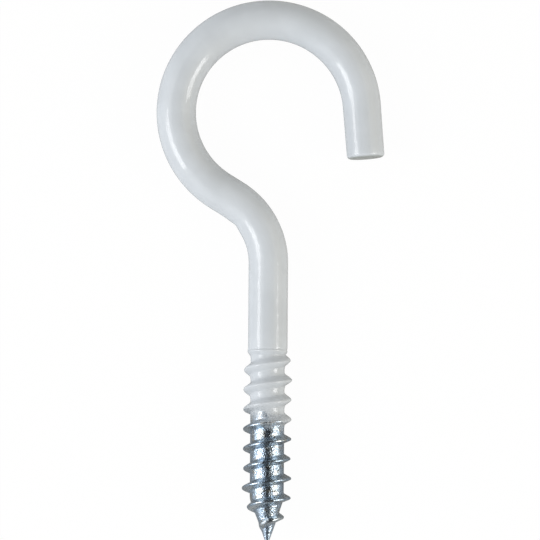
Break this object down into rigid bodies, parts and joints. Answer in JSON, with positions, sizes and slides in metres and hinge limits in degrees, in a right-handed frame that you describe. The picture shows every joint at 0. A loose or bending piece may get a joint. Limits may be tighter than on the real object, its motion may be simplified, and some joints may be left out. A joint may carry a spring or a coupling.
{
  "type": "screw hook",
  "caption": "White-coated steel wire hook with a wood screw's thread and point on one end and a round open bow with a short straight arm on the other.",
  "frame": {"origin": "on the screw's axis where the thread meets the shank", "axes": "+Y along the screw's axis from the point to the bow, +X to the side where the arm ends, +Z square to the plane of the bends. The hook lies flat, as it rests on a table."},
  "size_m": [0.0337, 0.08, 0.007],
  "materials": {
    "coated_steel": "gloss"
  },
  "bodies": {
    "root": {"screw_hook": "coated_steel"}
  },
  "joints": []
}
